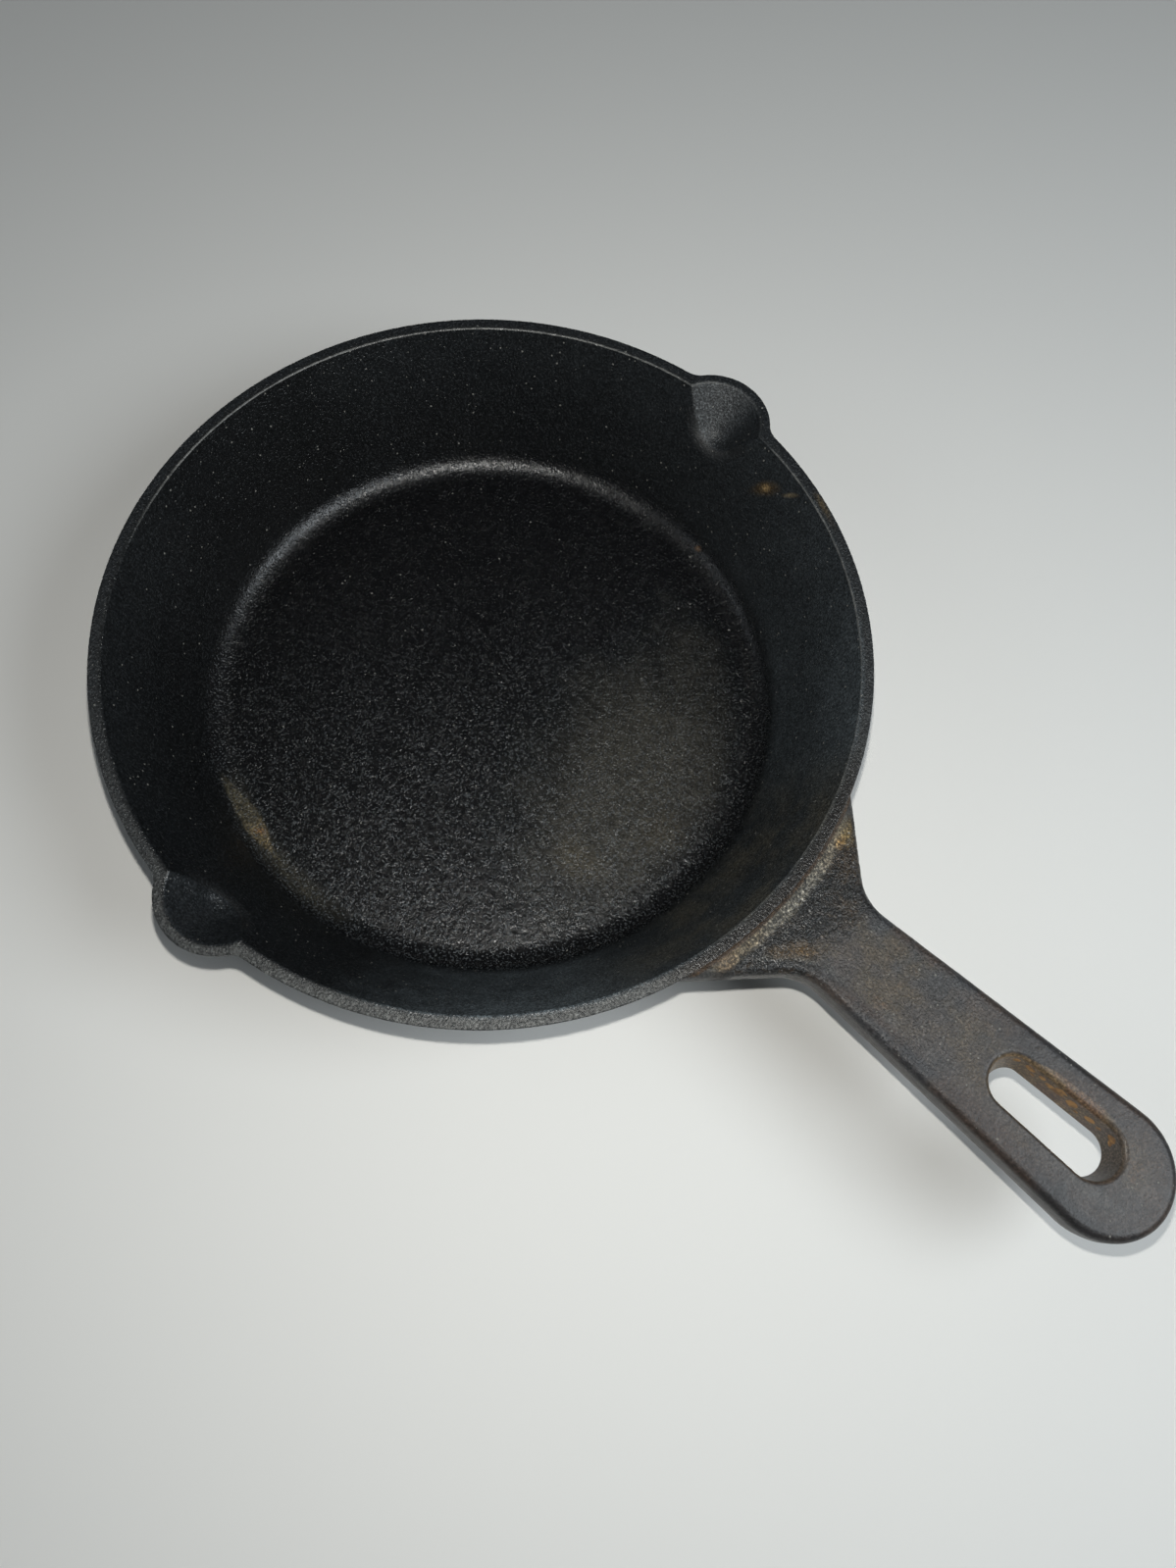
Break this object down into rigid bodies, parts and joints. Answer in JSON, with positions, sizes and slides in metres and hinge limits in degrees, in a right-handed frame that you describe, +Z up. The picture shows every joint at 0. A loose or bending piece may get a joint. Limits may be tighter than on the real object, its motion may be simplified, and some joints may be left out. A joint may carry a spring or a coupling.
{
  "type": "skillet",
  "caption": "Small one-piece cast iron skillet: round pan with sloping wall and flat rim, two opposed pouring lips and a flat handle with a hanging slot.",
  "frame": {"origin": "centre of the flat resting face under the pan, on the axis of the pan", "axes": "+X runs out along the handle towards its tip, +Z is up out of the pan, and the two pouring lips lie on +Y (left) and -Y (right)"},
  "size_m": [0.2362, 0.1626, 0.033],
  "materials": {
    "cast_iron": "sand-cast skin, dark and matte inside, greyer on rim and handle, a little rust"
  },
  "bodies": {
    "root": {"pan_floor": "cast_iron", "side_wall": "cast_iron", "pour_spout_left": "cast_iron", "pour_spout_right": "cast_iron", "handle_root": "cast_iron", "handle_shank": "cast_iron", "handle_eye": "cast_iron"}
  },
  "joints": []
}
